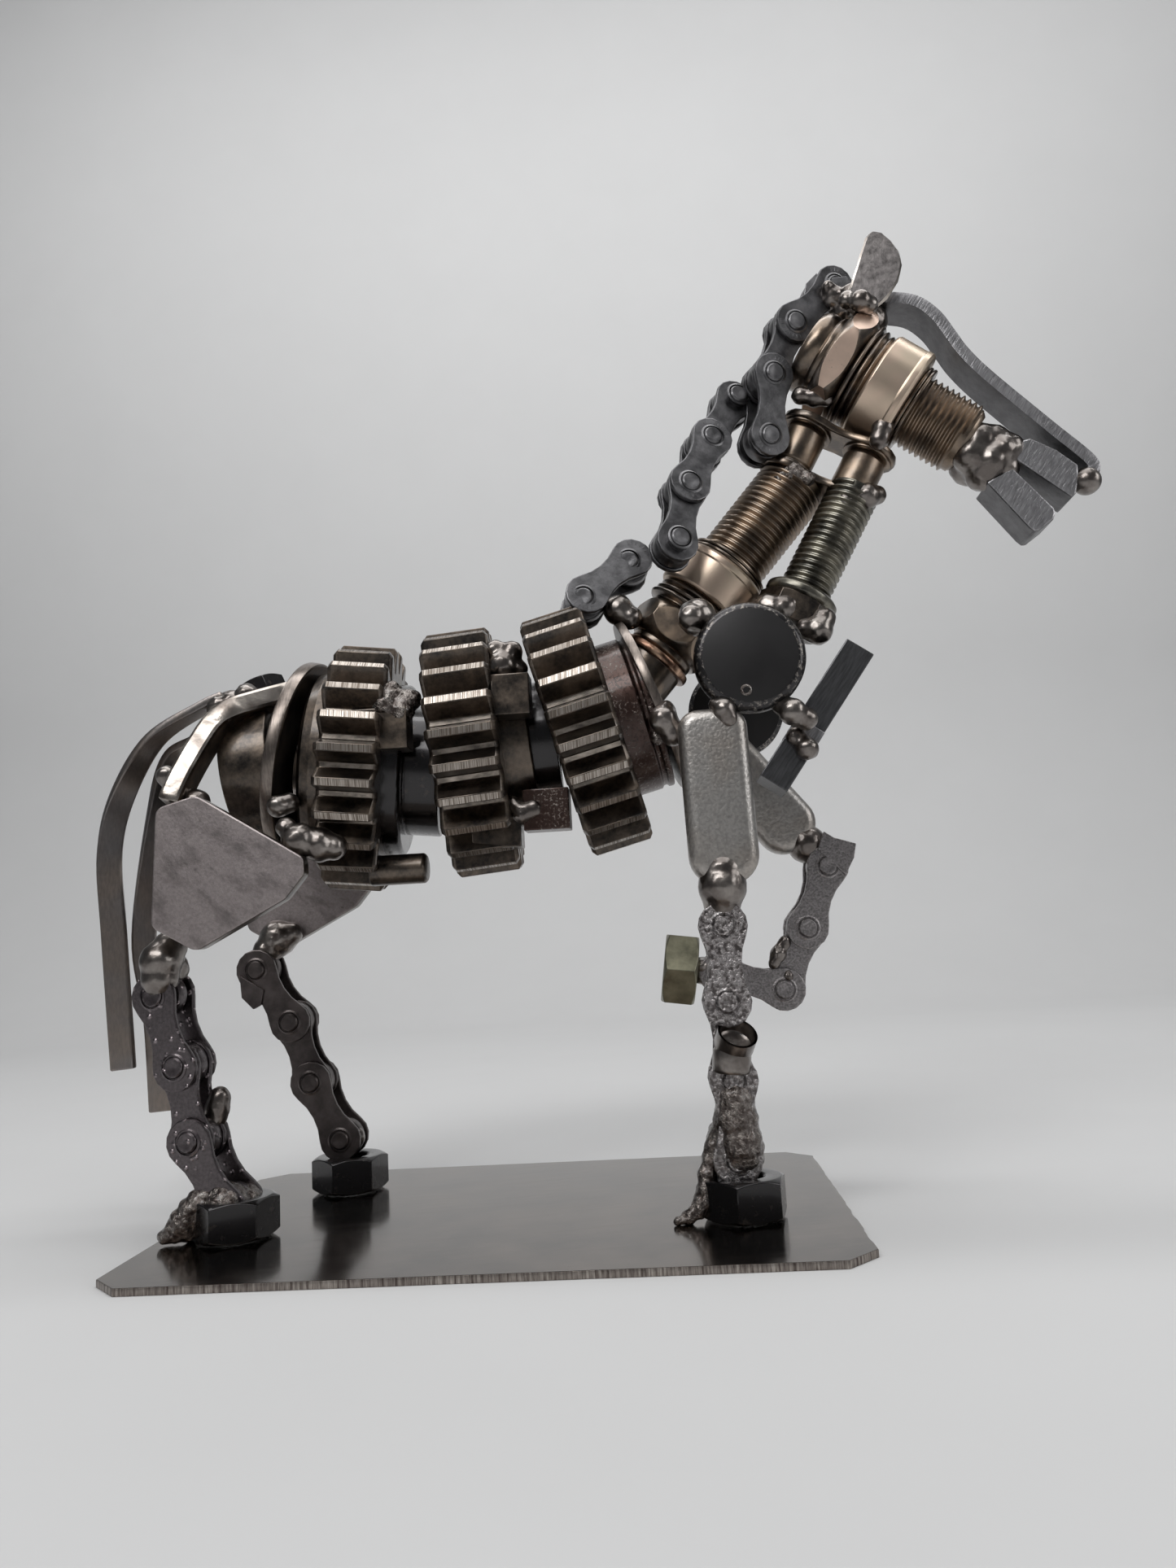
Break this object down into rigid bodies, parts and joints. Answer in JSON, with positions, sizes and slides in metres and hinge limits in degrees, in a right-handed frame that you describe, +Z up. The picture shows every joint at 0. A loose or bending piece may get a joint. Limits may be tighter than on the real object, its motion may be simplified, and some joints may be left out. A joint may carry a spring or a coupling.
{
  "type": "scrap metal horse sculpture",
  "caption": "Small standing horse welded from machine scrap, with gear barrel, chain legs and mane, spark plug neck and head and a lifted foreleg, on a thin steel plate.",
  "frame": {"origin": "middle of the base plate's underside", "axes": "+X towards the horse's head, +Y away from its near side, +Z up"},
  "size_m": [0.1964, 0.078, 0.183],
  "materials": {
    "dark_steel": "dark steel under clear lacquer",
    "satin_steel": "ground and brushed, lacquered",
    "cast_steel": "cast skin with fine pebbling, lacquered",
    "bronzed_steel": "satin steel with warm heat tints, lacquered",
    "chain_steel": "worn chain, pebbled, lacquered",
    "zinc_plate": "yellowed zinc plate"
  },
  "bodies": {
    "root": {"base_plate": "dark_steel", "hind_near_hoof": "dark_steel", "hind_far_hoof": "dark_steel", "fore_near_hoof": "dark_steel", "front_gear": "dark_steel", "middle_gear": "dark_steel", "rear_gear": "dark_steel", "rump_nut": "dark_steel", "near_shoulder_disc": "dark_steel", "far_shoulder_disc": "dark_steel", "chest_block": "dark_steel", "withers_washer": "satin_steel", "hip_ring": "satin_steel", "near_thigh": "satin_steel", "far_thigh": "satin_steel", "near_rump_strap": "satin_steel", "far_rump_strap": "satin_steel", "long_tail_strip": "satin_steel", "short_tail_strip": "satin_steel", "neck_bolt": "satin_steel", "upper_jaw": "satin_steel", "lower_jaw": "satin_steel", "brow_strap": "satin_steel", "near_ear": "satin_steel", "far_ear": "satin_steel", "near_shoulder_bar": "cast_steel", "far_shoulder_bar": "cast_steel", "hip_bearing": "bronzed_steel", "throat_link": "bronzed_steel", "neck_plug": "bronzed_steel", "head_plug": "bronzed_steel", "hind_near_leg": "chain_steel", "hind_far_leg": "chain_steel", "fore_near_leg": "chain_steel", "fore_far_leg": "chain_steel", "crest_chain": "chain_steel", "mane_chain": "chain_steel", "withers_chain": "chain_steel", "fore_far_hoof": "zinc_plate"}
  },
  "joints": []
}
